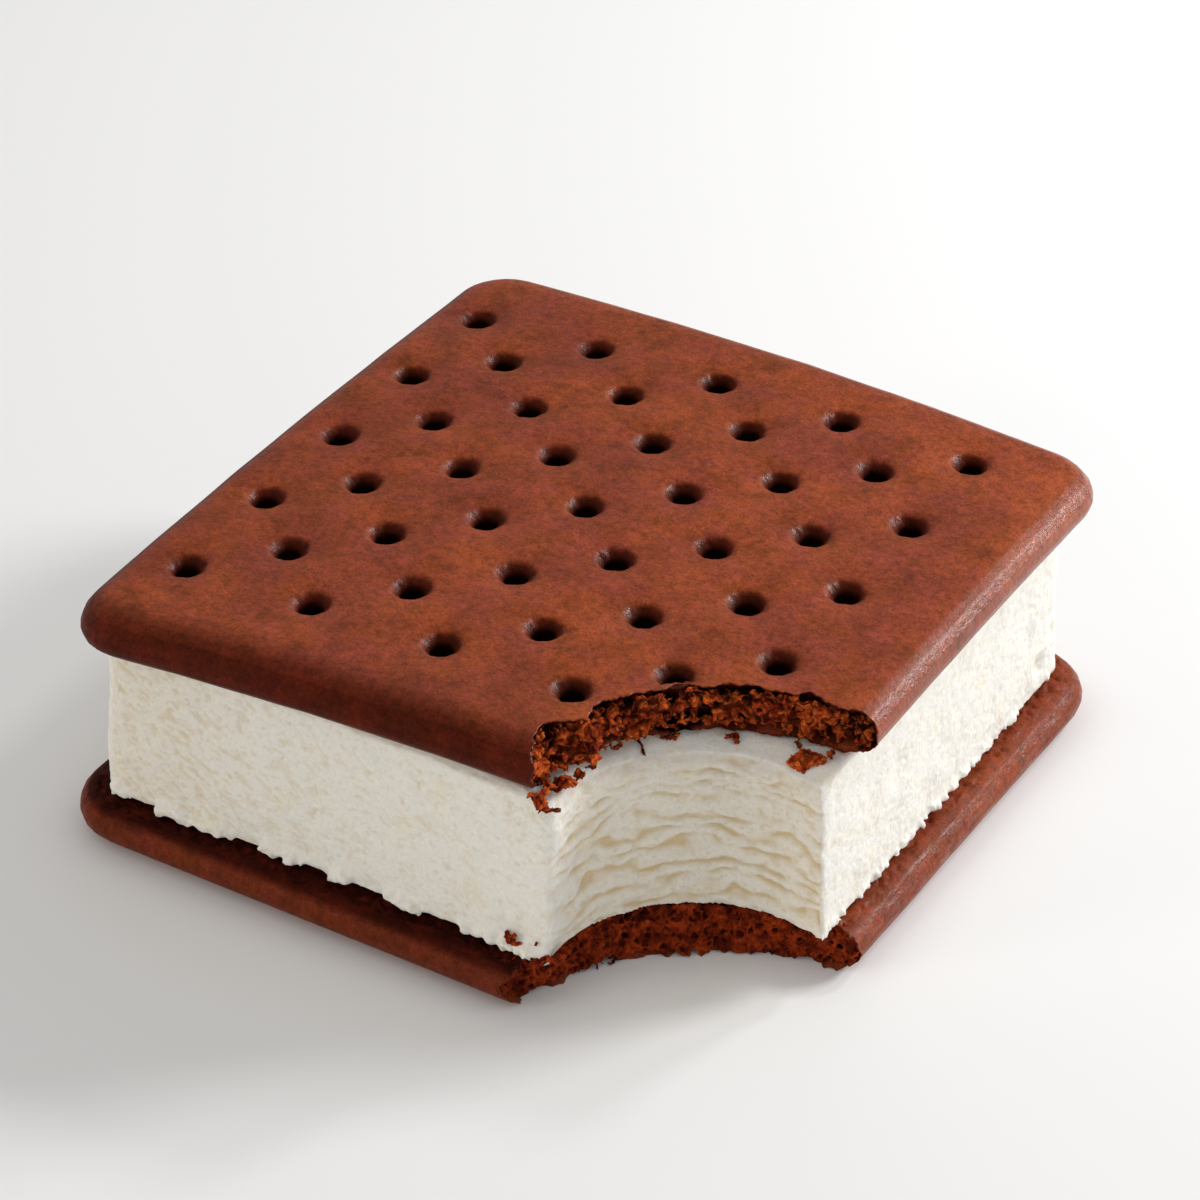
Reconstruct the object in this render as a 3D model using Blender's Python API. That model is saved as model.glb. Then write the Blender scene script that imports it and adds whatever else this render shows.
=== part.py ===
"""An ice cream sandwich with one corner bitten off, as closed solids in metres, +Z up.

Two docked chocolate wafers hold a square slab of ice cream between them. The origin is the middle of
the sandwich's footprint, on the surface it rests on. Its sides run along X and Y, and the bite is at
the +X, -Y corner.
"""

import math
import random

import bmesh
import bpy
from mathutils import Matrix, Vector, noise

MM = 0.001

# The sandwich as a whole.
TOTAL_HEIGHT = 31.4 * MM
GAP = 0.3 * MM

# Each layer's four edges, a little out of square: where an edge crosses its axis, and its slope there.
TOP_EDGES = {
    "left": (-39.8 * MM, 0.012),
    "right": (40.6 * MM, 0.003),
    "front": (-40.3 * MM, 0.019),
    "back": (40.2 * MM, -0.048),
}
ICE_EDGES = {
    "left": (-39.1 * MM, 0.010),
    "right": (38.4 * MM, 0.008),
    "front": (-38.7 * MM, -0.030),
    "back": (36.8 * MM, -0.060),
}
BOTTOM_EDGES = {
    "left": (-42.2 * MM, 0.017),
    "right": (41.3 * MM, 0.018),
    "front": (-41.9 * MM, -0.035),
    "back": (40.4 * MM, -0.082),
}

# The wafers: flat slabs with round corners, and rims that are half ellipses in section.
WAFER_THICKNESS = 5.4 * MM
TOP_CORNER = 6.3 * MM
BOTTOM_CORNER = 6.8 * MM
RIM_WIDTH = 3.6 * MM
RIM_RINGS = 4

# The top wafer sinks towards its edges by these amounts along X, along Y and at the corners.
SINK_MIDDLE = (0.2 * MM, 0.3 * MM)
SINK_X = 1.0 * MM
SINK_Y = 0.4 * MM
SINK_CORNER = 0.45 * MM
SINK_REACH = 39.0 * MM

# The docking holes: a five by five grid with a four by four grid between its rows.
DOCK_ROWS = 5
DOCK_PITCH_X = 15.2 * MM
DOCK_PITCH_Y = 14.45 * MM
TOP_DOCK_CENTRE = (-2.5 * MM, 0.7 * MM)
BOTTOM_DOCK_CENTRE = (1.5 * MM, -0.8 * MM)
DOCK_MOUTH_RADIUS = 2.3 * MM
DOCK_RADIUS = 1.35 * MM
DOCK_MOUTH_DEPTH = 0.8 * MM
DOCK_DEPTH = 4.0 * MM
DOCK_CLEARANCE = 3.0 * MM
DOCK_SIDES = 8
DOCK_STRAY = 0.15 * MM

# The slab of ice cream, a little smaller than the wafers and narrower at its top.
ICE_CORNER = 4.2 * MM
ICE_TAPER = 0.7 * MM
ICE_EDGE_RADIUS = 0.5 * MM
ICE_LEVELS = 6
ICE_WAVE = 0.35 * MM
ICE_WAVE_LENGTH = 14.0 * MM

# The bite: a mouth-shaped arc round a point near the corner, measured in each layer. Its radius changes
# by the flare from its middle to its two ends, and the tuck takes its front end back in again. The ice
# cream's upper edge melted to a round shoulder.
TOP_BITE = {
    "centre": (36.2 * MM, -39.3 * MM),
    "radius": 21.4 * MM,
    "flare": 2.1 * MM,
    "tuck": 2.1 * MM,
    "rough": 0.45 * MM,
    "seed": 3,
}
ICE_BITE = {
    "centre": (36.2 * MM, -42.9 * MM),
    "radius": 22.4 * MM,
    "flare": -5.0 * MM,
    "tuck": 0.0,
    "rough": 0.12 * MM,
    "seed": 5,
}
BOTTOM_BITE = {
    "centre": (36.2 * MM, -41.7 * MM),
    "radius": 20.9 * MM,
    "flare": 2.4 * MM,
    "tuck": 0.0,
    "rough": 0.5 * MM,
    "seed": 8,
}
BITE_FIRST_ANGLE = math.radians(66)
BITE_LAST_ANGLE = math.radians(186)
BITE_STEPS = 26
TUCK_FIRST = 0.85
TUCK_LAST = 0.98
BITE_REACH = 62.0 * MM
SPARE = 3.0 * MM
SHOULDER_RADIUS = 1.8 * MM
SHOULDER_STEPS = 3

CORNER_STEPS = 6
SHEET_LINES = (-1.75, -0.75, 0.25, 1.25)

CHOCOLATE = (0.205, 0.058, 0.030, 1.0)
VANILLA = (0.83, 0.80, 0.72, 1.0)


def clear_scene():
    for obj in list(bpy.data.objects):
        bpy.data.objects.remove(obj, do_unlink=True)


def matt_material(name, colour, roughness):
    material = bpy.data.materials.new(name)
    material.use_nodes = True
    shader = material.node_tree.nodes["Principled BSDF"]
    shader.inputs["Base Color"].default_value = colour
    shader.inputs["Roughness"].default_value = roughness
    shader.inputs["Metallic"].default_value = 0.0
    return material


def outline_of(edges, corner, inset=0.0):
    """A layer's rounded outline, counterclockwise from its +X, +Y corner, with its edges moved in."""
    left, right = edges["left"][0] + inset, edges["right"][0] - inset
    front, back = edges["front"][0] + inset, edges["back"][0] - inset
    radius = corner - inset
    points = []
    for turn, (x, y) in enumerate(((right, back), (left, back), (left, front), (right, front))):
        middle_x = x - math.copysign(radius, x)
        middle_y = y - math.copysign(radius, y)
        for step in range(CORNER_STEPS + 1):
            angle = math.pi / 2 * (turn + step / CORNER_STEPS)
            point_x = middle_x + radius * math.cos(angle)
            point_y = middle_y + radius * math.sin(angle)
            share_x = (point_x - left) / (right - left)
            share_y = (point_y - front) / (back - front)
            slope_x = edges["left"][1] * (1 - share_x) + edges["right"][1] * share_x
            slope_y = edges["front"][1] * (1 - share_y) + edges["back"][1] * share_y
            points.append(Vector((point_x + slope_x * point_y, point_y + slope_y * point_x)))
    return points


def middle_of(points):
    """The middle of the points' bounding rectangle."""
    across = [point.x for point in points]
    along = [point.y for point in points]
    return Vector(((min(across) + max(across)) / 2, (min(along) + max(along)) / 2))


# The largest outline is the bottom wafer's, and the middle of its bounding rectangle is the origin.
FOOTPRINT_MIDDLE = middle_of(outline_of(BOTTOM_EDGES, BOTTOM_CORNER))


def sink(x, y):
    """How far the top wafer lies below its middle's height at this place."""
    across = ((x - SINK_MIDDLE[0]) / SINK_REACH) ** 2
    along = ((y - SINK_MIDDLE[1]) / SINK_REACH) ** 2
    return SINK_X * across + SINK_Y * along + SINK_CORNER * across * along


def stack_outlines(rings):
    """A closed solid through a stack of outlines, each given with its height, from low to high."""
    bm = bmesh.new()
    stack = [[bm.verts.new((point.x, point.y, height)) for point in outline] for outline, height in rings]
    for lower, upper in zip(stack, stack[1:]):
        for place, vert in enumerate(lower):
            bm.faces.new((lower[place - 1], vert, upper[place], upper[place - 1]))
    bm.faces.new(reversed(stack[0]))
    bm.faces.new(stack[-1])
    bmesh.ops.recalc_face_normals(bm, faces=bm.faces)
    return bm


def cut_across(bm, place, normal):
    """Cuts the mesh's faces along a plane and keeps both sides, so that the sheet can bend there."""
    everything = bm.verts[:] + bm.edges[:] + bm.faces[:]
    bmesh.ops.bisect_plane(bm, geom=everything, dist=1e-7, plane_co=place, plane_no=normal)


def cut_sheet_lines(bm):
    """Lines between the rows of docking holes, where a sheet may bend without crossing a hole."""
    for line in SHEET_LINES:
        cut_across(bm, (line * DOCK_PITCH_X, 0, 0), (1, 0, 0))
        cut_across(bm, (0, line * DOCK_PITCH_Y, 0), (0, 1, 0))


def make_object(name, bm, material):
    """The object at the footprint's middle, shaded smooth except at its sharp edges."""
    bmesh.ops.translate(bm, verts=bm.verts, vec=(-FOOTPRINT_MIDDLE.x, -FOOTPRINT_MIDDLE.y, 0))
    mesh = bpy.data.meshes.new(name)
    bm.to_mesh(mesh)
    bm.free()
    mesh.materials.append(material)
    mesh.shade_smooth()
    mesh.set_sharp_from_angle(angle=math.radians(40))
    obj = bpy.data.objects.new(name, mesh)
    bpy.context.scene.collection.objects.link(obj)
    return obj


def make_cutter(name, bm, material):
    """A shape that only cuts others, so it is neither rendered nor part of the sandwich."""
    obj = make_object(name, bm, material)
    obj.hide_render = True
    obj.display_type = "WIRE"
    return obj


def subtract(obj, cutter):
    modifier = obj.modifiers.new(cutter.name, "BOOLEAN")
    modifier.operation = "DIFFERENCE"
    modifier.solver = "EXACT"
    modifier.object = cutter


def bite_outline(bite, spread):
    """The bitten-off corner in plan: a rough arc, moved out by the spread, and the corner beyond it."""
    chance = random.Random(bite["seed"])
    centre = Vector(bite["centre"])
    arc = []
    for step in range(BITE_STEPS + 1):
        share = step / BITE_STEPS
        angle = BITE_FIRST_ANGLE + (BITE_LAST_ANGLE - BITE_FIRST_ANGLE) * share
        flare = bite["flare"] * (2 * share - 1) ** 2
        tucked = min(max((share - TUCK_FIRST) / (TUCK_LAST - TUCK_FIRST), 0.0), 1.0)
        tuck = bite["tuck"] * tucked**2 * (3 - 2 * tucked)
        radius = bite["radius"] + flare - tuck + bite["rough"] * chance.uniform(-1, 1) + spread
        arc.append(centre + radius * Vector((math.cos(angle), math.sin(angle))))
    far_corner = [
        Vector((arc[-1].x, -BITE_REACH)),
        Vector((BITE_REACH, -BITE_REACH)),
        Vector((BITE_REACH, arc[0].y)),
    ]
    return arc + far_corner


def bite_cutter(name, bite, material):
    """What a bite takes from a wafer: a prism with a rough arc for its inner edge."""
    outline = bite_outline(bite, 0.0)
    return make_cutter(name, stack_outlines([(outline, -SPARE), (outline, TOTAL_HEIGHT + SPARE)]), material)


def shouldered_bite_cutter(name, bite, top, material):
    """What a bite takes from the ice cream: the same, but spreading out below the top in a quarter circle."""
    rings = [(bite_outline(bite, 0.0), -SPARE)]
    for step in range(SHOULDER_STEPS + 1):
        angle = math.pi / 2 * step / SHOULDER_STEPS
        spread = SHOULDER_RADIUS * (1 - math.cos(angle))
        rings.append((bite_outline(bite, spread), top - SHOULDER_RADIUS * (1 - math.sin(angle))))
    rings.append((bite_outline(bite, SHOULDER_RADIUS), top + SPARE))
    return make_cutter(name, stack_outlines(rings), material)


def docking_places(centre):
    """The middles of the docking holes, without the one that the bite takes away."""
    half = (DOCK_ROWS - 1) / 2
    whole = [(i - half, j - half) for i in range(DOCK_ROWS) for j in range(DOCK_ROWS)]
    between = [(i + 0.5 - half, j + 0.5 - half) for i in range(DOCK_ROWS - 1) for j in range(DOCK_ROWS - 1)]
    kept = [place for place in whole + between if place != (half, -half)]
    return [(centre[0] + i * DOCK_PITCH_X, centre[1] + j * DOCK_PITCH_Y) for i, j in kept]


def add_docking_pin(bm, x, y, rings):
    """A stepped pin through (x, y), from rings of radius and height, first to last."""
    ring_edges = []
    for radius, height in rings:
        place = Matrix.Translation((x, y, height))
        ring = bmesh.ops.create_circle(bm, segments=DOCK_SIDES, radius=radius, matrix=place)["verts"]
        ring_edges.append(list({edge for vert in ring for edge in vert.link_edges}))
    for lower, upper in zip(ring_edges, ring_edges[1:]):
        bmesh.ops.bridge_loops(bm, edges=lower + upper)
    bmesh.ops.contextual_create(bm, geom=ring_edges[0])
    bmesh.ops.contextual_create(bm, geom=ring_edges[-1])


def docking_cutter(name, centre, surface, inward, seed, material):
    """All the pins of one wafer. The height of its outer face at (x, y) is surface(x, y)."""
    chance = random.Random(seed)
    bm = bmesh.new()
    for x, y in docking_places(centre):
        x += chance.uniform(-1, 1) * DOCK_STRAY
        y += chance.uniform(-1, 1) * DOCK_STRAY
        face = surface(x, y)
        flare = DOCK_CLEARANCE / DOCK_MOUTH_DEPTH * (DOCK_MOUTH_RADIUS - DOCK_RADIUS)
        rings = [
            (DOCK_RADIUS, face + inward * DOCK_DEPTH),
            (DOCK_RADIUS, face + inward * DOCK_MOUTH_DEPTH),
            (DOCK_MOUTH_RADIUS, face),
            (DOCK_MOUTH_RADIUS + flare, face - inward * DOCK_CLEARANCE),
        ]
        add_docking_pin(bm, x, y, rings)
    bmesh.ops.recalc_face_normals(bm, faces=bm.faces)
    return make_cutter(name, bm, material)


def wafer_slab(edges, corner, low):
    rings = []
    for step in range(2 * RIM_RINGS + 1):
        angle = math.pi / 2 * (step / RIM_RINGS - 1)
        inset = RIM_WIDTH * (1 - math.cos(angle))
        height = low + WAFER_THICKNESS / 2 * (1 + math.sin(angle))
        rings.append((outline_of(edges, corner, inset), height))
    bm = stack_outlines(rings)
    cut_sheet_lines(bm)
    return bm


def build_bottom_wafer(material):
    wafer = make_object("wafer_bottom", wafer_slab(BOTTOM_EDGES, BOTTOM_CORNER, 0.0), material)
    pins = docking_cutter("bottom_docking", BOTTOM_DOCK_CENTRE, lambda x, y: 0.0, 1, 21, material)
    subtract(wafer, pins)
    subtract(wafer, bite_cutter("bottom_bite", BOTTOM_BITE, material))


def build_top_wafer(material):
    bm = wafer_slab(TOP_EDGES, TOP_CORNER, TOTAL_HEIGHT - WAFER_THICKNESS)
    for vert in bm.verts:
        vert.co.z -= sink(vert.co.x, vert.co.y)
    wafer = make_object("wafer_top", bm, material)
    pins = docking_cutter(
        "top_docking", TOP_DOCK_CENTRE, lambda x, y: TOTAL_HEIGHT - sink(x, y), -1, 34, material
    )
    subtract(wafer, pins)
    subtract(wafer, bite_cutter("top_bite", TOP_BITE, material))


def build_ice_cream(material):
    low = WAFER_THICKNESS + GAP
    high = TOTAL_HEIGHT - WAFER_THICKNESS - GAP
    rings = [(outline_of(ICE_EDGES, ICE_CORNER, ICE_EDGE_RADIUS), low)]
    for level in range(ICE_LEVELS + 1):
        share = level / ICE_LEVELS
        height = low + ICE_EDGE_RADIUS + (high - low - 2 * ICE_EDGE_RADIUS) * share
        rings.append((outline_of(ICE_EDGES, ICE_CORNER, ICE_TAPER * share), height))
    rings.append((outline_of(ICE_EDGES, ICE_CORNER, ICE_TAPER + ICE_EDGE_RADIUS), high))
    bm = stack_outlines(rings)
    cut_sheet_lines(bm)
    for vert in bm.verts:
        share = (vert.co.z - low) / (high - low)
        outward = Vector((vert.co.x, vert.co.y, 0)) / -ICE_EDGES["front"][0]
        vert.co += outward * ICE_WAVE * noise.noise(vert.co / ICE_WAVE_LENGTH)
        vert.co.z -= sink(vert.co.x, vert.co.y) * share
    ice_cream = make_object("ice_cream", bm, material)
    angle = (BITE_FIRST_ANGLE + BITE_LAST_ANGLE) / 2
    bite_x = ICE_BITE["centre"][0] + ICE_BITE["radius"] * math.cos(angle)
    bite_y = ICE_BITE["centre"][1] + ICE_BITE["radius"] * math.sin(angle)
    top = high - sink(bite_x, bite_y)
    subtract(ice_cream, shouldered_bite_cutter("ice_bite", ICE_BITE, top, material))


clear_scene()
wafer_material = matt_material("chocolate_wafer", CHOCOLATE, 0.62)
build_bottom_wafer(wafer_material)
build_ice_cream(matt_material("vanilla_ice_cream", VANILLA, 0.5))
build_top_wafer(wafer_material)
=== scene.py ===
"""The looks of a bitten ice cream sandwich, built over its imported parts, in metres with +Z up.

The sections follow the sandwich as it is put together: the bottom wafer and its bitten crumb, the
ice cream, the top wafer and its crumb, the loose crumbs, and then the table, the lights and the camera.
"""

import math
import random

import bmesh
import bpy
import numpy as np
from mathutils import Matrix, Vector, noise
from mathutils.bvhtree import BVHTree


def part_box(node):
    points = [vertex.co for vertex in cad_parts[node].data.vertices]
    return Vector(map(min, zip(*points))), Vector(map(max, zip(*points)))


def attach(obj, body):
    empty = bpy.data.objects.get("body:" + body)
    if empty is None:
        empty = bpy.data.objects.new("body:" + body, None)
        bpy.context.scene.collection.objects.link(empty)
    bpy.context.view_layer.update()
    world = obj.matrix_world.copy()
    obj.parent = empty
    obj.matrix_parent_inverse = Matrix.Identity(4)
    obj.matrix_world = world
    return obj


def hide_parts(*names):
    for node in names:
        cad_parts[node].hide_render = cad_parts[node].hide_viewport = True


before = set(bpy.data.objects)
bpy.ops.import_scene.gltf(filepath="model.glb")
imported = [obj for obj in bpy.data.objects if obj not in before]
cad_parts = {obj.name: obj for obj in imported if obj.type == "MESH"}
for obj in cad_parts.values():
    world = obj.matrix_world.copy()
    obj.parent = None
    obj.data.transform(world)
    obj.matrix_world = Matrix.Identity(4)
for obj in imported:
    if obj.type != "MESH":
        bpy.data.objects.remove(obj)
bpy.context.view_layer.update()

MM = 0.001

# ---------------------------------------------------------------------------- the bottom wafer
# A soft baked chocolate wafer, cut square with round corners and pricked with docking holes so that
# steam can leave it. It lies flat and carries the ice cream, and a margin of its upper face shows
# all round. Its rims are rounded, satin and a little sticky; its upper face is duller, with open pores.

WAFER_THICKNESS = 5.4 * MM
SKIN_CELL = 0.27 * MM
MERGE = 0.001 * MM
PIECE_TRIANGLES = 190000
DOCK_ROWS = 5
DOCK_PITCH = (15.2 * MM, 14.45 * MM)
DOCK_STRAY = 0.15 * MM
BOTTOM_DOCK_MIDDLE = (1.95 * MM, -0.9 * MM)
BOTTOM_BITE = {
    "centre": (36.65 * MM, -41.8 * MM),
    "radius": 20.9 * MM,
    "flare": 2.4 * MM,
    "tuck": 0.0,
    "snag": (0.0, 0.0),
}
BITE_ANGLES = (math.radians(66), math.radians(186))
RIM_WIDTH = 3.6 * MM
BOTTOM_EDGES = {"front": (-42.0 * MM, -0.035), "right": (41.75 * MM, 0.018)}


def merged_copy(node):
    """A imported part's shape as one joined mesh."""
    bm = bmesh.new()
    bm.from_mesh(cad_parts[node].data)
    bmesh.ops.remove_doubles(bm, verts=bm.verts, dist=MERGE)
    return bm


def as_piece(name, bm):
    mesh = bpy.data.meshes.new(name)
    bm.to_mesh(mesh)
    bm.free()
    piece = bpy.data.objects.new(name, mesh)
    bpy.context.scene.collection.objects.link(piece)
    return piece


def apply_modifiers(piece):
    depsgraph = bpy.context.evaluated_depsgraph_get()
    mesh = bpy.data.meshes.new_from_object(piece.evaluated_get(depsgraph))
    piece.modifiers.clear()
    piece.data = mesh
    piece.data.name = piece.name


def even_out(piece, cell):
    """Covers the piece's outside with small even faces."""
    modifier = piece.modifiers.new("even faces", "REMESH")
    modifier.mode = "VOXEL"
    modifier.voxel_size = cell
    apply_modifiers(piece)


def thin_out(piece, triangles):
    """Joins faces where the surface is plainest, until the piece has this many triangles."""
    now = sum(len(face.vertices) - 2 for face in piece.data.polygons)
    if now <= triangles:
        return
    modifier = piece.modifiers.new("fewer faces", "DECIMATE")
    modifier.ratio = triangles / now
    apply_modifiers(piece)


def points_of(piece):
    points = np.zeros(len(piece.data.vertices) * 3, np.float32)
    piece.data.vertices.foreach_get("co", points)
    return points.reshape(-1, 3).astype(float)


def normals_of(piece):
    normals = np.zeros(len(piece.data.vertices) * 3, np.float32)
    piece.data.vertex_normals.foreach_get("vector", normals)
    return normals.reshape(-1, 3).astype(float)


def move_points(piece, points):
    piece.data.vertices.foreach_set("co", points.astype(np.float32).ravel())
    piece.data.update()


def store(piece, name, values):
    """Keeps one number for each point, for the piece's material to read."""
    attribute = piece.data.attributes.new(name, "FLOAT", "POINT")
    attribute.data.foreach_set("value", np.asarray(values, np.float32))


def lumps(points, size, seed, octaves=1):
    """Smooth noise from about -1 to 1 at each point, with lumps about as wide as size."""
    total = np.zeros(len(points))
    weight = 1.0
    for octave in range(octaves):
        places = points / (np.asarray(size) / 2**octave) + seed * 7.3 + octave * 3.1
        total += weight * np.array([noise.noise(place) for place in places.tolist()])
        weight *= 0.5
    return total


def ease(low, high, values):
    """0 below low and 1 above high, with a smooth rise between."""
    share = np.clip((values - low) / (high - low), 0, 1)
    return share * share * (3 - 2 * share)


def hump(low, high, soft, values):
    """1 between low and high, falling smoothly to 0 over soft on either side."""
    return ease(low - soft, low, values) * (1 - ease(high, high + soft, values))


def bite_radius(bite, share):
    """The arc's radius at a share of the way along it: it flares to its two ends, but the tuck takes the
    front end back in again."""
    share = np.clip(share, 0, 1)
    return bite["radius"] + bite["flare"] * (2 * share - 1) ** 2 - bite["tuck"] * ease(0.85, 0.98, share)


def into_rim(x, y, rise, edges):
    """How far out in the wafer's rounded rim a place lies, from 0 inside the rim to 1 on its surface."""
    front = y - (edges["front"][0] + edges["front"][1] * x)
    right = edges["right"][0] + edges["right"][1] * y - x
    outward = np.clip(1 - np.minimum(front, right) / RIM_WIDTH, 0, None)
    return np.hypot(outward, 2 * rise - 1)


def snag(bite, share):
    """How far a tag of skin and crumb sticks out into the bite, where it tore instead of being cut."""
    return bite["snag"][1] * np.exp(-(((share - bite["snag"][0]) / 0.03) ** 2))


def past_bite(points, bite):
    """How far each point lies past the bite's arc into the food, and its share of the way along it."""
    across = points[:, 0] - bite["centre"][0]
    along = points[:, 1] - bite["centre"][1]
    angle = np.mod(np.arctan2(along, across), 2 * math.pi)
    share = (angle - BITE_ANGLES[0]) / (BITE_ANGLES[1] - BITE_ANGLES[0])
    return np.hypot(across, along) - bite_radius(bite, share), share


def docking_places(middle, seed):
    """The middles of the docking holes: a five by five grid, and a four by four grid between its rows."""
    chance = random.Random(seed)
    half = (DOCK_ROWS - 1) / 2
    whole = [(i - half, j - half) for i in range(DOCK_ROWS) for j in range(DOCK_ROWS)]
    between = [(i + 0.5 - half, j + 0.5 - half) for i in range(DOCK_ROWS - 1) for j in range(DOCK_ROWS - 1)]
    places = []
    for i, j in whole + between:
        if (i, j) == (half, -half):
            continue
        x = middle[0] + i * DOCK_PITCH[0] + chance.uniform(-1, 1) * DOCK_STRAY
        y = middle[1] + j * DOCK_PITCH[1] + chance.uniform(-1, 1) * DOCK_STRAY
        places.append((x, y))
    return places


def from_docking(points, places):
    """Each point's distance from the axis of the docking hole nearest to it."""
    nearest = np.full(len(points), 1.0)
    for x, y in places:
        nearest = np.minimum(nearest, np.hypot(points[:, 0] - x, points[:, 1] - y))
    return nearest


def store_painted_shade_and_gloss(piece, depth, places, dark, margin, painted_ice_shadow, wet):
    """Keeps painted shade and gloss for each point of a wafer, given its depth below the docked face: pit is
    painted shade that rises to 1 deep in the docking holes, sooner on their far walls, or the painted shadow
    given; lip is 1 where the right side of their mouths and of the rim is wet; and rim is painted shade that
    rises to dark on the front and left rims, darkens the hole walls and takes the margin given, with a little
    darker tone on every rim."""
    points = points_of(piece)
    normals = normals_of(piece)
    distance = from_docking(points, places)
    shade = shaded_side(normals)
    inside = 1 - ease(2.6 * MM, 3.0 * MM, distance)
    # Painted shade: pit darkens the docking holes with depth, their far walls sooner, and the painted shadow
    # passed in is added.
    depth = depth + 0.6 * MM * (shade - 0.5)
    store(piece, "pit", np.maximum(inside * ease(0.4 * MM, 2.0 * MM, depth), painted_ice_shadow))
    on_skin = ease(3.0 * MM, 4.0 * MM, distance)
    sideways = ease(0.004, 0.2, 1 - np.abs(normals[:, 2])) * on_skin
    mouth = (1 - ease(2.0 * MM, 2.6 * MM, distance)) * (1 - ease(0.5 * MM, 1.1 * MM, depth))
    glossy = np.maximum(0.7 * mouth, wet * ease(0.07, 0.2, 1 - np.abs(normals[:, 2])) * on_skin)
    store(piece, "lip", glossy * (1 - ease(0.46, 0.54, shade)))
    # Painted shade: rim darkens the hole walls, the front and left rims by dark, and the margin passed in;
    # every rim is also a little darker in tone.
    wall = 0.9 * inside * ease(0.15 * MM, 0.9 * MM, depth)
    side = sideways * (0.1 + dark * ease(0.3, 0.75, shade))
    store(piece, "rim", np.maximum(np.maximum(side, margin), wall))


def smooth_where(piece, wanted, rounds):
    """Relaxes the points in the wanted places, so that facets and stair steps melt away there."""
    bm = bmesh.new()
    bm.from_mesh(piece.data)
    bm.verts.ensure_lookup_table()
    chosen = [bm.verts[i] for i in np.flatnonzero(wanted)]
    for _ in range(rounds):
        bmesh.ops.smooth_vert(bm, verts=chosen, factor=0.5, use_axis_x=True, use_axis_y=True, use_axis_z=True)
    bm.to_mesh(piece.data)
    bm.free()


def cracks(points, size, seed):
    """0 along the cracks between chunks about as wide as size, and up to about 1 inside each chunk."""
    nearest = [noise.voronoi(place)[0][:2] for place in (points / size + seed * 5.7).tolist()]
    return np.array([second - first for first, second in nearest])


def dents(points, places):
    """How deep the dents are at each point. Each dent is a place, a radius and a depth."""
    sunk = np.zeros(len(points))
    for place, radius, depth in places:
        distance = np.linalg.norm(points - np.array(place), axis=1)
        sunk = np.maximum(sunk, depth * np.clip(1 - (distance / radius) ** 2, 0, 1))
    return sunk


def shaded_side(normals):
    """1 where the wafer faces front or left, away from the key light, and 0 where it faces back or right; it
    sets where shade is painted on the rims and in the docking holes.
    """
    return 0.5 - 0.5 * (0.5 * normals[:, 0] + 0.87 * normals[:, 1])


def colour(code):
    """A hex colour as the linear values that a shader takes."""
    parts = [int(code[i : i + 2], 16) / 255 for i in (1, 3, 5)]
    return tuple(p / 12.92 if p <= 0.04045 else ((p + 0.055) / 1.055) ** 2.4 for p in parts) + (1.0,)


def new_material(name):
    material = bpy.data.materials.new(name)
    material.use_nodes = True
    material.node_tree.nodes.clear()
    return material


def add_node(material, kind, inputs, **settings):
    """Adds a node with its settings, and links or sets its inputs."""
    tree = material.node_tree
    node = tree.nodes.new(kind)
    for setting, value in settings.items():
        setattr(node, setting, value)
    for socket, value in inputs.items():
        if isinstance(value, bpy.types.NodeSocket):
            tree.links.new(value, node.inputs[socket])
        else:
            node.inputs[socket].default_value = value
    return node


def finish_piece(piece, material, node):
    piece.data.materials.clear()
    piece.data.materials.append(material)
    piece.data.shade_smooth()
    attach(piece, "root")
    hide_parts(node)


# The wafer's skin: baked cocoa dough, matt brown with a mauve bloom, mottled where the sugar and fat
# browned unevenly, flecked and finely grained. Painted shade makes it nearly black in the docking holes
# and dark on the rims and margins that face away from the light.

SKIN_WARM = "#9C4A26"
SKIN_MAUVE = "#843C29"
SKIN_FLECK = "#4A1408"
# SKIN_RIM and SKIN_PIT are painted shade: the dark brown of shaded rims and margins, and the near black deep in
# the holes.
SKIN_RIM = "#4A1205"
SKIN_PIT = "#120200"
SKIN_SHEEN = "#FFD2BC"
PATCH = 9.0 * MM
MOTTLE = 3.2 * MM
FLECK = 0.9 * MM
GRAIN = 0.3 * MM
GRAIN_HEIGHT = 0.05 * MM
FLECK_HEIGHT = 0.14 * MM
RIM_ROUGHNESS = 0.5
PIT_ROUGHNESS = 0.9
SYRUP = 0.65
SYRUP_ROUGHNESS = 0.2


def noise_of(material, place, size, detail, roughness=0.6):
    """Noise whose lumps are about as wide as size."""
    inputs = {"Vector": place, "Scale": 1 / size, "Detail": detail, "Roughness": roughness}
    return add_node(material, "ShaderNodeTexNoise", inputs).outputs["Fac"]


def spread(material, value, low, high, to_low=0.0, to_high=1.0):
    """The value's range from low to high, spread over another range."""
    inputs = {"Value": value, "From Min": low, "From Max": high, "To Min": to_low, "To Max": to_high}
    return add_node(material, "ShaderNodeMapRange", inputs).outputs[0]


def mixed(material, share, first, second):
    """A mix of two colours, each a hex colour or another node's colour."""
    first, second = (colour(shade) if isinstance(shade, str) else shade for shade in (first, second))
    inputs = {0: share, 6: first, 7: second}
    return add_node(material, "ShaderNodeMix", inputs, data_type="RGBA").outputs[2]


def kept(material, name):
    """A number kept for each point of the piece."""
    return add_node(material, "ShaderNodeAttribute", {}, attribute_name=name).outputs["Fac"]


def bumped(material, height, distance, normal=None):
    inputs = {"Height": height, "Distance": distance, "Strength": 1.0}
    if normal is not None:
        inputs["Normal"] = normal
    return add_node(material, "ShaderNodeBump", inputs).outputs["Normal"]


def brightened(material, shade, factor):
    return add_node(material, "ShaderNodeHueSaturation", {"Value": factor, "Color": shade}).outputs[0]


def finish_material(material, inputs):
    shader = add_node(material, "ShaderNodeBsdfPrincipled", inputs)
    add_node(material, "ShaderNodeOutputMaterial", {"Surface": shader.outputs[0]})
    return material


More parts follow.
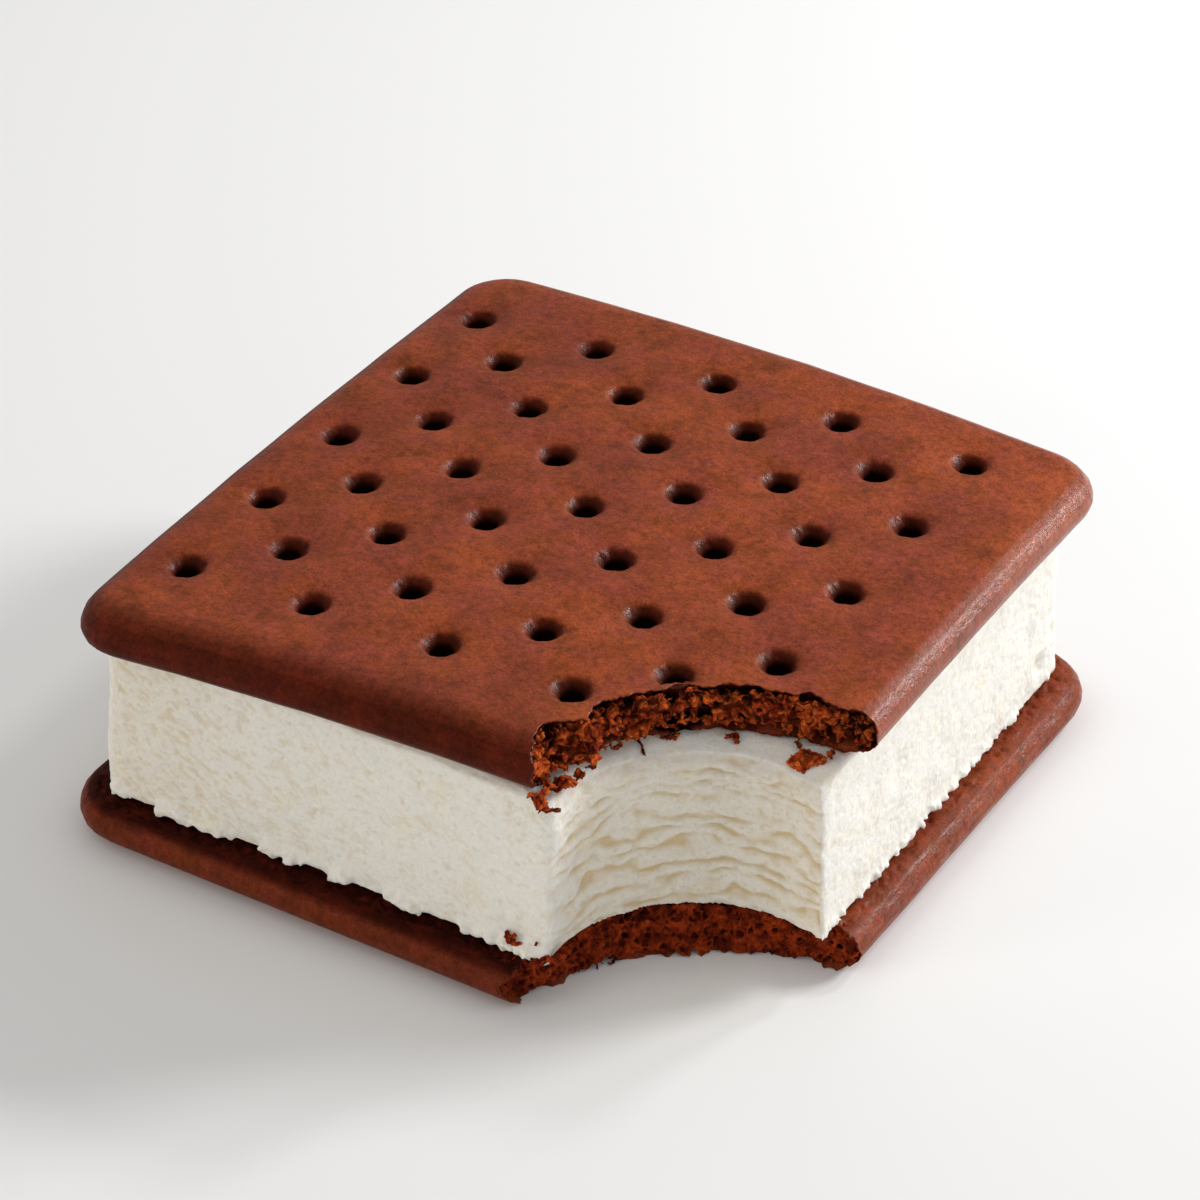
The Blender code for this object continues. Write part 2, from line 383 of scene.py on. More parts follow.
def skin_material(name, roughness):
    material = new_material(name)
    place = add_node(material, "ShaderNodeTexCoord", {}).outputs["Object"]
    patch = noise_of(material, place, PATCH, 3.0)
    mottle = noise_of(material, place, MOTTLE, 5.0)
    fleck = noise_of(material, place, FLECK, 4.0, 0.65)
    grain = noise_of(material, place, GRAIN, 3.0, 0.7)
    both = add_node(material, "ShaderNodeMath", {0: patch, 1: mottle}, operation="ADD").outputs[0]
    shade = mixed(material, spread(material, both, 0.85, 1.15), SKIN_WARM, SKIN_MAUVE)
    # Painted shade: the rim mix darkens the front and left rims, the hole walls and the shaded margins.
    shade = mixed(material, kept(material, "rim"), shade, SKIN_RIM)
    shade = brightened(material, shade, spread(material, mottle, 0.3, 0.7, 0.62, 1.34))
    shade = brightened(material, shade, spread(material, fleck, 0.25, 0.75, 0.6, 1.4))
    shade = brightened(material, shade, spread(material, grain, 0.25, 0.75, 0.65, 1.35))
    shade = mixed(material, spread(material, fleck, 0.64, 0.74, 0.0, 0.6), shade, SKIN_FLECK)
    # Painted shade: the pit mix goes nearly black deep in the holes and under the ice cream.
    shade = mixed(material, kept(material, "pit"), shade, SKIN_PIT)
    normal = bumped(material, fleck, FLECK_HEIGHT)
    normal = bumped(material, grain, GRAIN_HEIGHT, normal)
    rough = spread(material, fleck, 0.3, 0.7, roughness - 0.08, roughness + 0.08)
    for place, baked in (("rim", RIM_ROUGHNESS), ("pit", PIT_ROUGHNESS)):
        inputs = {0: kept(material, place), 2: rough, 3: baked}
        rough = add_node(material, "ShaderNodeMix", inputs, data_type="FLOAT").outputs[0]
    return finish_material(
        material,
        {
            "Base Color": shade,
            "Roughness": rough,
            "IOR": 1.45,
            "Specular IOR Level": 0.1,
            "Specular Tint": colour(SKIN_SHEEN),
            "Coat Weight": spread(material, kept(material, "lip"), 0.0, 1.0, 0.0, SYRUP),
            "Coat Roughness": SYRUP_ROUGHNESS,
            "Coat IOR": 1.45,
            "Coat Normal": normal,
            "Normal": normal,
        },
    )


SKIN_ROUGHNESS = 0.42
skin = skin_material("baked_chocolate_wafer_skin", SKIN_ROUGHNESS)

bottom_wafer = as_piece("bottom_wafer", merged_copy("wafer_bottom"))
even_out(bottom_wafer, SKIN_CELL)
bottom_places = docking_places(BOTTOM_DOCK_MIDDLE, 21)
points = points_of(bottom_wafer)
smooth_where(bottom_wafer, from_docking(points, bottom_places) < 3.0 * MM, 2)

CUT_BACK = 1.6 * MM
WAFER_WAVE = 0.18 * MM
WAFER_WAVE_LENGTH = 9.0 * MM


def cut_back_bite(points, bite, edges, low, fray, extra, seed):
    """Hollows the bitten face under the outer skin, where the crumb goes, and frays the skin's edge.
    Extra is how much further the upper skin is torn away, at each point."""
    past, share = past_bite(points, bite)
    near = (1 - ease(0.25 * MM, 1.5 * MM, past - extra)) * hump(-0.02, 1.02, 0.01, share)
    rise = (points[:, 2] - low) / WAFER_THICKNESS
    middle = 1 - ease(0.82, 0.96, into_rim(points[:, 0], points[:, 1], rise, edges))
    upper = ease(0.2, 0.8, rise)
    ragged = lumps(points, 2.2 * MM, seed, 3) + 0.7 * lumps(points, 0.8 * MM, seed + 1, 2)
    torn = fray * (0.7 + ragged) - snag(bite, share)
    outward = np.stack([points[:, 0] - bite["centre"][0], points[:, 1] - bite["centre"][1]], 1)
    outward /= np.linalg.norm(outward, axis=1)[:, None]
    moved = points.copy()
    moved[:, :2] += outward * (near * (CUT_BACK * middle + torn + extra * upper))[:, None]
    return moved


points = points_of(bottom_wafer)
normals = normals_of(bottom_wafer)
sideways = 1 - np.abs(normals[:, 2])
wave = WAFER_WAVE * lumps(points, WAFER_WAVE_LENGTH, 2, 2)
points[:, :2] += normals[:, :2] * (wave * sideways)[:, None]
share = past_bite(points, BOTTOM_BITE)[1]
torn_more = np.maximum(0.0, 2.2 * MM - 4.2 * MM * (2 * share - 1) ** 2)
points = cut_back_bite(points, BOTTOM_BITE, BOTTOM_EDGES, 0.0, 0.5 * MM, torn_more, 4)
pores = ease(0.1, 0.5, lumps(points, 1.0 * MM, 15, 3)) * ease(4.9 * MM, 5.3 * MM, points[:, 2])
points[:, 2] -= 0.3 * MM * pores
move_points(bottom_wafer, points)
thin_out(bottom_wafer, PIECE_TRIANGLES)
points = points_of(bottom_wafer)
# Painted shade: the upper face and upper rim darken, most at the front and left where the ice cream and top
# wafer keep the light off; the whole wafer is also a little darker in tone.
at_right = ease(22 * MM, 34 * MM, points[:, 0])
margin = np.maximum(0.28, ease(3.7 * MM, 4.5 * MM, points[:, 2]) * (1 - 0.6 * at_right))
# Painted shadow: under the ice cream at the front and left, the upper face goes nearly black in patches.
painted_ice_shadow = ease(4.2 * MM, 4.9 * MM, points[:, 2]) * (0.85 - 0.85 * at_right)
wet = 0.3 + 0.7 * ease(0.1, 0.4, lumps(points * [1, 0.5, 1], 0.7 * MM, 51, 2))
painted_ice_shadow *= 0.75 + 0.45 * np.clip(2 * lumps(points, 0.7 * MM, 16, 2), -1, 0.5)
store_painted_shade_and_gloss(bottom_wafer, points[:, 2], bottom_places, 0.55, margin, painted_ice_shadow, wet)
finish_piece(bottom_wafer, skin, "wafer_bottom")

# ---------------------------------------------------------------------------- the bottom wafer's crumb
# Where teeth tore the wafer its soft inside shows: a dark, open crumb of small fused lumps with
# pores between them, rough and without any gloss. Painted shade darkens its pores and the parts set back.

CRUMB_CELL = 0.14 * MM
CRUMB_DARK = "#581505"
CRUMB_LIGHT = "#AA3E11"
# CRUMB_DEEP is painted shade: the near black of the crumb's gaps and of the parts set back.
CRUMB_DEEP = "#1C0301"
CRUMB_PATCH = 1.3 * MM
CRUMB_GRAIN = 0.25 * MM


def crumb_material(name, dark, light):
    material = new_material(name)
    place = add_node(material, "ShaderNodeTexCoord", {}).outputs["Object"]
    patch = noise_of(material, place, CRUMB_PATCH, 4.0)
    grain = noise_of(material, place, CRUMB_GRAIN, 3.0)
    shade = mixed(material, spread(material, patch, 0.4, 0.7), dark, light)
    shade = brightened(material, shade, spread(material, grain, 0.3, 0.7, 0.6, 1.4))
    # Painted shade: deep darkens the crumb towards near black.
    shade = mixed(material, kept(material, "deep"), shade, CRUMB_DEEP)
    return finish_material(
        material,
        {
            "Base Color": shade,
            "Roughness": 0.85,
            "IOR": 1.45,
            "Specular IOR Level": 0.12,
            "Normal": bumped(material, grain, 0.1 * MM),
        },
    )


moist_crumb = crumb_material("moist_torn_wafer_crumb", CRUMB_DARK, CRUMB_LIGHT)


LUMPS_AT_ONCE = 60
RESTING = 0.02 * MM
FRONT_LAYER = 1.0 * MM
WAVER = 0.8 * MM
SMALLEST_SCRAP = 150


def add_lump(bm, place, radius, chance):
    """A small uneven lump of crumb, turned at random."""
    size = Matrix.Diagonal([radius * chance.uniform(0.5, 1.4) for _ in range(3)] + [1])
    turn = Matrix.Rotation(chance.uniform(0, math.pi), 4, Vector([chance.uniform(-1, 1) for _ in range(3)]))
    made = bmesh.ops.create_icosphere(
        bm, subdivisions=1, radius=1.0, matrix=Matrix.Translation(place) @ turn @ size
    )
    for vert in made["verts"]:
        vert.co += (vert.co - Vector(place)) * chance.uniform(-0.3, 0.3)


def lump_cloud(places, chance):
    """All the lumps, each given with its place and radius, as one loose mesh made a few at a time."""
    whole = bmesh.new()
    for first in range(0, len(places), LUMPS_AT_ONCE):
        few = bmesh.new()
        for place, radius in places[first : first + LUMPS_AT_ONCE]:
            add_lump(few, place, radius, chance)
        mesh = bpy.data.meshes.new("lumps")
        few.to_mesh(mesh)
        few.free()
        whole.from_mesh(mesh)
        bpy.data.meshes.remove(mesh)
    return whole


def warped(points, size, amount, seed):
    """The points moved about at random, so that cells laid over them lose their straight sides."""
    return points + amount * np.stack([lumps(points, size, seed + axis) for axis in range(3)], 1)


def porous(points, seed):
    """How far each point sinks, at most 1: pores with thin walls between them, as in a moist crumb."""
    cell = cracks(warped(points, 0.7 * MM, 0.35 * MM, seed), 0.85 * MM, seed)
    open_here = ease(-0.3, 0.2, lumps(points, 1.8 * MM, seed + 9, 2))
    return ease(0.12, 0.5, cell) * (0.35 + 0.65 * open_here)


def flaky(points, seed):
    """How far each point sinks, at most 1: gaps between the chunks and flakes of a drier crumb."""
    cell = cracks(warped(points, 0.8 * MM, 0.5 * MM, seed), 1.5 * MM, seed)
    small = cracks(warped(points, 0.5 * MM, 0.3 * MM, seed + 4), 0.7 * MM, seed + 1)
    return np.maximum(1 - ease(0.03, 0.3, cell), 0.5 * (1 - ease(0.0, 0.25, small)))


def drop_scraps(piece, smallest):
    """Removes the bits that hang on nothing and have fewer points than smallest."""
    bm = bmesh.new()
    bm.from_mesh(piece.data)
    seen = set()
    scraps = []
    for vert in bm.verts:
        if vert in seen:
            continue
        seen.add(vert)
        bit = [vert]
        for member in bit:
            for edge in member.link_edges:
                other = edge.other_vert(member)
                if other not in seen:
                    seen.add(other)
                    bit.append(other)
        if len(bit) < smallest:
            scraps += bit
    bmesh.ops.delete(bm, geom=scraps, context="VERTS")
    bm.to_mesh(piece.data)
    bm.free()


def crumb_band(name, bite, edges, holes, low, high, layers, lean, loose, texture, sinking, seed):
    """Layers of lumps along a bite's arc and some loose ones, fused into one rough band and sunk by its
    texture. It leaves these docking holes open, and its foot stands forward by lean."""
    chance = random.Random(seed)
    places = list(loose)
    for count, small, large, near, far in layers:
        for _ in range(count):
            share = chance.random()
            angle = BITE_ANGLES[0] + (BITE_ANGLES[1] - BITE_ANGLES[0]) * share
            radius = small + (large - small) * chance.random() ** 1.5
            rise = chance.random()
            bottom, top = low(share), high(share)
            depth = chance.uniform(near, far) + 0.6 * radius
            clear = radius * (0.7 + 0.8 * min(1.0, depth / FRONT_LAYER))
            height = bottom + clear + (top - bottom - 2 * clear) * rise
            reach = bite_radius(bite, share) + depth - lean(share) * (1 - rise) - snag(bite, share)
            reach += WAVER * noise.noise((9 * share, seed, 0.0))
            x = bite["centre"][0] + reach * math.cos(angle)
            y = bite["centre"][1] + reach * math.sin(angle)
            in_hole = from_docking(np.array([[x, y, height]]), holes)[0] < 1.2 * MM + radius
            outward = into_rim(x, y, (height - bottom) / (top - bottom), edges)
            if outward < 1 - clear / RIM_WIDTH and not in_hole:
                places.append(((x, y, height), radius))
    piece = as_piece(name, lump_cloud(places, chance))
    even_out(piece, CRUMB_CELL)
    drop_scraps(piece, SMALLEST_SCRAP)
    points = points_of(piece)
    crack = texture(points, seed)
    points -= normals_of(piece) * (sinking * crack - 0.09 * MM * lumps(points, 0.5 * MM, seed, 2))[:, None]
    points[:, 2] = np.maximum(points[:, 2], RESTING)
    move_points(piece, points)
    store(piece, "crack", crack)
    thin_out(piece, PIECE_TRIANGLES)
    points = points_of(piece)
    past, share = past_bite(points, bite)
    rise = np.clip((points[:, 2] - low(0.5)) / (high(0.5) - low(0.5)), 0, 1)
    # Painted shade: deep darkens the crumb behind its front and in its cracks.
    behind = ease(0.5 * MM, 1.5 * MM, past + lean(share) * (1 - rise))
    cracked = np.zeros(len(points), np.float32)
    piece.data.attributes["crack"].data.foreach_get("value", cracked)
    store(piece, "deep", np.clip(0.8 * behind + 0.8 * cracked, 0, 1))
    return piece


def bottom_lean(share):
    """How far the torn face's foot stands in front of its top, where the ice cream's bite begins."""
    return np.maximum(0.0, 1.9 * MM - 2.6 * MM * (2 * np.asarray(share) - 1) ** 2)


BOTTOM_CRUMB_BITE = {**BOTTOM_BITE, "radius": 22.4 * MM, "flare": 1.0 * MM}
CORNER_CRUMBS = tuple(
    ((x * MM, y * MM, z * MM), radius * MM)
    for x, y, z, radius in (
        (15.0, -39.9, 5.3, 0.6),
        (15.9, -40.0, 5.7, 0.7),
        (16.7, -39.9, 6.3, 0.7),
        (17.4, -39.5, 6.5, 0.7),
        (17.8, -38.7, 6.3, 0.6),
        (17.9, -37.8, 5.9, 0.6),
        (16.3, -40.3, 5.0, 0.8),
        (17.4, -40.0, 5.3, 0.8),
        (18.0, -36.6, 5.8, 0.5),
        (17.9, -35.2, 5.9, 0.4),
        (19.0, -31.6, 5.7, 0.4),
    )
)
bottom_crumb = crumb_band(
    "bottom_crumb",
    BOTTOM_CRUMB_BITE,
    BOTTOM_EDGES,
    (),
    lambda share: 0.0,
    lambda share: WAFER_THICKNESS,
    (
        (1300, 0.6 * MM, 0.9 * MM, 0.4 * MM, 1.6 * MM),
        (1500, 0.3 * MM, 0.55 * MM, 0.0 * MM, 0.6 * MM),
        (1200, 0.15 * MM, 0.28 * MM, -0.1 * MM, 0.3 * MM),
    ),
    bottom_lean,
    CORNER_CRUMBS,
    porous,
    0.4 * MM,
    31,
)
finish_piece(bottom_crumb, moist_crumb, "wafer_bottom")

# ---------------------------------------------------------------------------- the ice cream
# A slab of frozen vanilla ice cream: pale cream, softly translucent, foamy where it was cut and
# melted back a little. Its bitten face stands in soft wavy ridges that the teeth left, and its foot
# has melted into small teeth over the wafer.

ICE_CELL = 0.28 * MM
ICE_BITE = {"centre": (36.65 * MM, -43.0 * MM), "radius": 22.4 * MM, "flare": -5.0 * MM, "tuck": 0.0}
ICE_WHITE = "#F3F0E8"
ICE_OCHRE = "#CBA95A"
ICE_YELLOW = "#EBD48C"
ICE_ROUGHNESS = 0.5
FOAM = 0.45 * MM
FROTH = 1.3 * MM
SLANT = math.radians(20)
RIDGE_RISE = 2.1 * MM
RIDGE_DEPTH = 0.36 * MM
LEDGE = 4.2 * MM
LEDGE_DROP = 1.2 * MM
FOOT_RISE = 1.6 * MM
DRIPS = (
    ((0, 1), 800, 0.6 * MM),
    ((1, 0), 500, 0.5 * MM),
    ((0, -1), 500, 0.5 * MM),
    ((-1, 0), 220, 0.38 * MM),
)
SMALLEST_DRIP = 0.3 * MM
DRIP_CLUSTER = 4.0 * MM
DRIPS_TO = 38 * MM
DRIPS_FROM = 50 * MM
DRIPS_IN = 13 * MM

ice_low, ice_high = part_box("ice_cream")


def foot_drips(shape, chance):
    """Places and sizes of small rounded bits, in clusters along the foot of each cut side but not in the
    bite. Each side has its way in, how many bits are tried along it, and the largest."""
    surface = BVHTree.FromBMesh(shape)
    drips = []
    for way_in, tries, largest in DRIPS:
        inward = Vector((*way_in, 0.0))
        for _ in range(tries):
            place = Vector((way_in[1], way_in[0], 0.0)) * chance.uniform(-1, 1) * DRIPS_TO - inward * DRIPS_FROM
            place.z = ice_low.z + chance.uniform(0.1, 0.9) * MM
            face = surface.ray_cast(place, inward, DRIPS_IN)[0]
            clustered = noise.noise(place / DRIP_CLUSTER) + 0.5 * chance.random()
            if face is not None and clustered > 0.3:
                radius = chance.uniform(SMALLEST_DRIP, largest)
                drips.append((face - inward * radius * chance.uniform(0.2, 1.0), radius))
    return drips


chance = random.Random(61)
ice_shape = merged_copy("ice_cream")
drip_shape = lump_cloud(foot_drips(ice_shape, chance), chance)
drip_mesh = bpy.data.meshes.new("drips")
drip_shape.to_mesh(drip_mesh)
drip_shape.free()
ice_shape.from_mesh(drip_mesh)
bpy.data.meshes.remove(drip_mesh)
ice_cream = as_piece("ice_cream_slab", ice_shape)
even_out(ice_cream, ICE_CELL)
points = points_of(ice_cream)
normals = normals_of(ice_cream)
past, share = past_bite(points, ICE_BITE)
corner_edges = (past < 2.0 * MM) & (np.abs(normals[:, 2]) < 0.9)
smooth_where(ice_cream, corner_edges, 50)

points = points_of(ice_cream)
normals = normals_of(ice_cream)
past, share = past_bite(points, ICE_BITE)
outward = points[:, :2] - np.array(ICE_BITE["centre"])
outward /= np.linalg.norm(outward, axis=1)[:, None]
facing = -(normals[:, :2] * outward).sum(1)
bitten = ease(0.35, 0.7, facing) * (1 - ease(2.2 * MM, 3.0 * MM, past))
side = ease(0.3, 0.8, 1 - np.abs(normals[:, 2]))
cut = side * (1 - bitten)
height = points[:, 2] - ice_low.z
arc = share * (BITE_ANGLES[1] - BITE_ANGLES[0]) * ICE_BITE["radius"]


def along(across, rise, wide, tall):
    """Places for noise on a standing face, with lumps of this width and height."""
    return np.stack([across / wide, rise / tall, np.zeros(len(across))], 1)


def slanted_pits(across, rise, wide, tall, seed):
    """Stretched pits that slant down to the right across a standing face."""
    level = across * math.cos(SLANT) - rise * math.sin(SLANT)
    above = across * math.sin(SLANT) + rise * math.cos(SLANT)
    return ease(0.12, 0.6, lumps(along(level, above, wide, tall), 1.0, seed, 3))


# The bitten face: worn terraces that follow the arc, each leaning back to the recess under the next.
phase = height / RIDGE_RISE + 1.0 * lumps(along(arc, height, 7 * MM, 5 * MM), 1.0, 3, 2)
phase += 0.3 * lumps(along(arc, height, 2.2 * MM, 1.6 * MM), 1.0, 5, 2)
part = np.mod(phase, 1)
ridge = np.where(part < 0.62, 1 - ease(0.0, 0.62, part), ease(0.62, 1.0, part))
strength = 0.75 - 0.5 * ease(10 * MM, 17 * MM, height)
strength += 1.0 * lumps(along(arc, height, 2.8 * MM, 1.7 * MM), 1.0, 8, 2)
strength = np.clip(strength, 0.05, 1.1) * bitten * (1 - 0.7 * ease(0.76, 0.87, share))
# Painted shade: the recess under each crest is kept for an ochre tint.
recess = 0.9 * strength * (1 - ridge) ** 3
moved = -RIDGE_DEPTH * strength * (1 - ridge)
moved += bitten * 0.13 * MM * lumps(along(arc, height, 1.5 * MM, 0.9 * MM), 1.0, 14, 2)

# The cut faces: foam pits, coarser at the left, and the edges that melted into a lip and a row of teeth.
sideways = ease(0.3, 0.7, np.abs(normals[:, 0]))
across = points[:, 0] * -np.sign(normals[:, 1]) * (1 - sideways)
across += points[:, 1] * np.sign(normals[:, 0]) * sideways
pitted = 0.35 + 0.25 * (1 - ease(-34 * MM, 0 * MM, points[:, 0])) * (1 - sideways)
coarse = slanted_pits(across, height, 1.9 * MM, 0.65 * MM, 11) * pitted
fine = slanted_pits(across, height, 0.9 * MM, 0.4 * MM, 13) * (1 - 0.2 * sideways)
moved -= side * (0.2 * MM * coarse * (1 - bitten) + 0.1 * MM * fine)
# Painted shade: the foam pits are kept as recesses for the ochre tint too.
recess = np.maximum(recess, side * np.maximum(0.65 * coarse * (1 - bitten), 0.4 * fine))
moved += side * 0.22 * MM * lumps(points, 4.5 * MM, 21, 2)
moved += side * 0.06 * MM * lumps(points, 0.8 * MM, 12, 2)
foot = side * (1 - ease(0.0, FOOT_RISE, height)) * (1 - 0.6 * bitten)
moved += 0.25 * MM * lumps(points, 0.9 * MM, 31, 2) * foot
lip = side * ease(17.8 * MM, 18.8 * MM, height) * (1 - bitten)
moved += 0.1 * MM * lip
RIGHT_DENTS = (
    ((38.9 * MM, 27.0 * MM, 9.5 * MM), 1.6 * MM, 0.5 * MM),
    ((38.9 * MM, 30.5 * MM, 11.5 * MM), 1.3 * MM, 0.35 * MM),
    ((38.7 * MM, 24.0 * MM, 14.5 * MM), 2.0 * MM, 0.3 * MM),
    ((38.7 * MM, -6.0 * MM, 16.0 * MM), 2.2 * MM, 0.3 * MM),
)
dented = dents(points, RIGHT_DENTS)
moved -= dented
# Painted shade: the dents are kept as recesses for the ochre tint.
recess = np.maximum(recess, ease(0.2 * MM, 0.5 * MM, dented) * 0.6)
points += normals * moved[:, None]
points[:, 2] = np.maximum(points[:, 2] - 0.22 * MM * foot * (height < 0.6 * MM), ice_low.z - 0.28 * MM)
ledge = (1 - ease(0.0, LEDGE, past)) * ease(13 * MM, 20 * MM, height) * hump(0.0, 1.0, 0.05, share)
points[:, 2] -= LEDGE_DROP * ledge
move_points(ice_cream, points)
yellowed = 0.3 * bitten * (1 - 0.8 * ease(0.72, 0.85, share))
yellowed += 0.25 * side * (1 - ease(-38 * MM, -5 * MM, points[:, 0])) * (1 - sideways)
store(ice_cream, "recess", recess + yellowed)
thin_out(ice_cream, PIECE_TRIANGLES)


def ice_material():
    """Ice cream: near white, with yellow blotches of richer cream, and foam, and ochre painted shade in its
    recesses.
    """
    material = new_material("frozen_vanilla_ice_cream")
    place = add_node(material, "ShaderNodeTexCoord", {}).outputs["Object"]
    foam = noise_of(material, place, FOAM, 4.0)
    froth = noise_of(material, place, FROTH, 4.0)
    blotch = noise_of(material, place, 5.0 * MM, 3.0)
    shade = brightened(material, colour(ICE_WHITE), spread(material, foam, 0.3, 0.7, 0.93, 1.03))
    shade = mixed(material, spread(material, blotch, 0.58, 0.75, 0.0, 0.25), shade, ICE_YELLOW)
    shade = mixed(material, spread(material, froth, 0.56, 0.75, 0.0, 0.3), shade, ICE_OCHRE)
    # Painted shade: the recess mix tints ochre the ridges' recesses, the foam pits and the dents; it also
    # yellows the bitten face and the left of the front face.
    shade = mixed(material, spread(material, kept(material, "recess"), 0.1, 1.0, 0.0, 0.65), shade, ICE_OCHRE)
    normal = bumped(material, froth, 0.2 * MM)
    normal = bumped(material, foam, 0.1 * MM, normal)
    return finish_material(
        material,
        {
            "Base Color": shade,
            "Roughness": ICE_ROUGHNESS,
            "IOR": 1.35,
            "Specular IOR Level": 0.35,
            "Subsurface Weight": 0.4,
            "Subsurface Radius": (1.0, 0.85, 0.65),
            "Subsurface Scale": 0.6 * MM,
            "Normal": normal,
        },
    )


finish_piece(ice_cream, ice_material(), "ice_cream")

# ---------------------------------------------------------------------------- the top wafer
# The same wafer turned over, with its smooth oven side up. It settled as the ice cream froze, so it
# is highest at its middle. The docking pins pulled the dough down round each hole into a soft dimple.

TOP_DOCK_MIDDLE = (-2.05 * MM, 0.6 * MM)
TOP_BITE = {
    "centre": (36.65 * MM, -39.4 * MM),
    "radius": 21.4 * MM,
    "flare": 2.1 * MM,
    "tuck": 2.1 * MM,
    "snag": (0.775, 1.3 * MM),
}
TOP_EDGES = {"front": (-40.4 * MM, 0.019), "right": (41.05 * MM, 0.003)}
SINK_MIDDLE = (0.65 * MM, 0.2 * MM)
SINK_X = 1.0 * MM
SINK_Y = 0.4 * MM
SINK_CORNER = 0.45 * MM
SINK_REACH = 39.0 * MM
DIMPLE_DEPTH = 0.55 * MM
DIMPLE_REACH = 3.0 * MM

top_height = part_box("wafer_top")[1].z


def sink(points):
    """How far the top wafer lies below its middle's height."""
    across = ((points[:, 0] - SINK_MIDDLE[0]) / SINK_REACH) ** 2
    along = ((points[:, 1] - SINK_MIDDLE[1]) / SINK_REACH) ** 2
    return SINK_X * across + SINK_Y * along + SINK_CORNER * across * along


top_wafer = as_piece("top_wafer", merged_copy("wafer_top"))
even_out(top_wafer, SKIN_CELL)
top_places = docking_places(TOP_DOCK_MIDDLE, 34)
points = points_of(top_wafer)
smooth_where(top_wafer, from_docking(points, top_places) < 3.0 * MM, 2)
points = points_of(top_wafer)
normals = normals_of(top_wafer)
distance = from_docking(points, top_places)
level = points[:, 2] + sink(points) - top_height
upper = ease(-3.0 * MM, -0.5 * MM, level)
points[:, 2] -= upper * DIMPLE_DEPTH * np.exp(-((distance / DIMPLE_REACH) ** 2))
mouth = hump(0.9 * MM, 1.9 * MM, 0.4 * MM, distance)
points += normals * (0.1 * MM * mouth * lumps(points, 1.0 * MM, 41, 2))[:, None]
points[:, 2] += upper * 0.09 * MM * lumps(points, 14 * MM, 6, 2)
sideways = 1 - np.abs(normals[:, 2])
wave = WAFER_WAVE * lumps(points, WAFER_WAVE_LENGTH, 7, 2)
points[:, :2] += normals[:, :2] * (wave * sideways * ease(3.5 * MM, 4.5 * MM, distance))[:, None]
lowest = top_height - sink(points) - WAFER_THICKNESS
points = cut_back_bite(points, TOP_BITE, TOP_EDGES, lowest, 0.4 * MM, 0.0, 9)
move_points(top_wafer, points)
thin_out(top_wafer, PIECE_TRIANGLES)
points = points_of(top_wafer)
# Painted shade: the skin darkens in a band along the front edge, where it turns away from the light, and more
# faintly towards the left and back.
from_front = points[:, 1] - TOP_EDGES["front"][0] - TOP_EDGES["front"][1] * points[:, 0]
margin = 0.85 * (1 - ease(1.0 * MM, 6.5 * MM, from_front))
margin = np.maximum(margin, 0.24 * (1 - ease(-45 * MM, 15 * MM, points[:, 0] - 0.6 * points[:, 1])))
store_painted_shade_and_gloss(top_wafer, top_height - sink(points) - points[:, 2], top_places, 0.85, margin, 0.0, 1.0)
finish_piece(top_wafer, skin, "wafer_top")

# ---------------------------------------------------------------------------- the top wafer's crumb
# The torn inside of the top wafer, drier than the bottom one's: larger flakes and lumps that catch the light,
# with deep gaps between them. Its colours are brighter, partly as a drier crumb and partly as painted light,
# and painted shade darkens its gaps and the parts set back.


def top_face(share):
    angle = BITE_ANGLES[0] + (BITE_ANGLES[1] - BITE_ANGLES[0]) * share
    x = TOP_BITE["centre"][0] + TOP_BITE["radius"] * math.cos(angle)
    y = TOP_BITE["centre"][1] + TOP_BITE["radius"] * math.sin(angle)
    return top_height - sink(np.array([[x, y, 0.0]]))[0]


def top_lean(share):
    """At its front end the crumb slumped forwards over the ice cream."""
    return 1.4 * MM * hump(0.7, 0.86, 0.1, np.asarray(share))


# Partly painted light: these colours are brighter than the bottom crumb's, partly because this crumb is drier
# and partly to stand in for the light it catches.
dry_crumb_painted_lit = crumb_material("dry_torn_wafer_crumb_painted_lit", "#7E210A", "#F0702C")
HANGING_CRUMBS = tuple(
    ((x * MM, y * MM, z * MM), radius * MM)
    for x, y, z, radius in (
        (15.6, -39.5, 25.7, 0.9),
        (15.9, -39.3, 25.0, 0.85),
        (16.3, -39.0, 24.4, 0.75),
        (17.0, -38.7, 24.2, 0.6),
        (17.6, -38.5, 24.2, 0.45),
        (15.7, -38.2, 25.3, 1.0),
        (16.0, -37.0, 25.4, 1.1),
        (16.5, -35.6, 25.3, 1.0),
        (17.2, -34.6, 25.0, 0.6),
        (17.0, -33.4, 25.2, 0.8),
        (17.4, -32.0, 25.2, 0.7),
        (19.3, -25.8, 25.2, 0.7),
        (19.8, -26.1, 24.7, 0.5),
        (20.2, -26.3, 24.3, 0.35),
        (21.0, -23.9, 25.1, 0.6),
        (21.9, -23.1, 25.0, 0.6),
        (23.2, -22.3, 25.0, 0.5),
        (26.6, -20.3, 25.1, 0.6),
        (27.4, -20.4, 24.8, 0.6),
        (28.3, -20.5, 24.5, 0.45),
        (28.9, -20.7, 24.2, 0.3),
        (33.2, -18.6, 25.3, 0.6),
        (36.6, -18.2, 25.3, 0.7),
    )
)
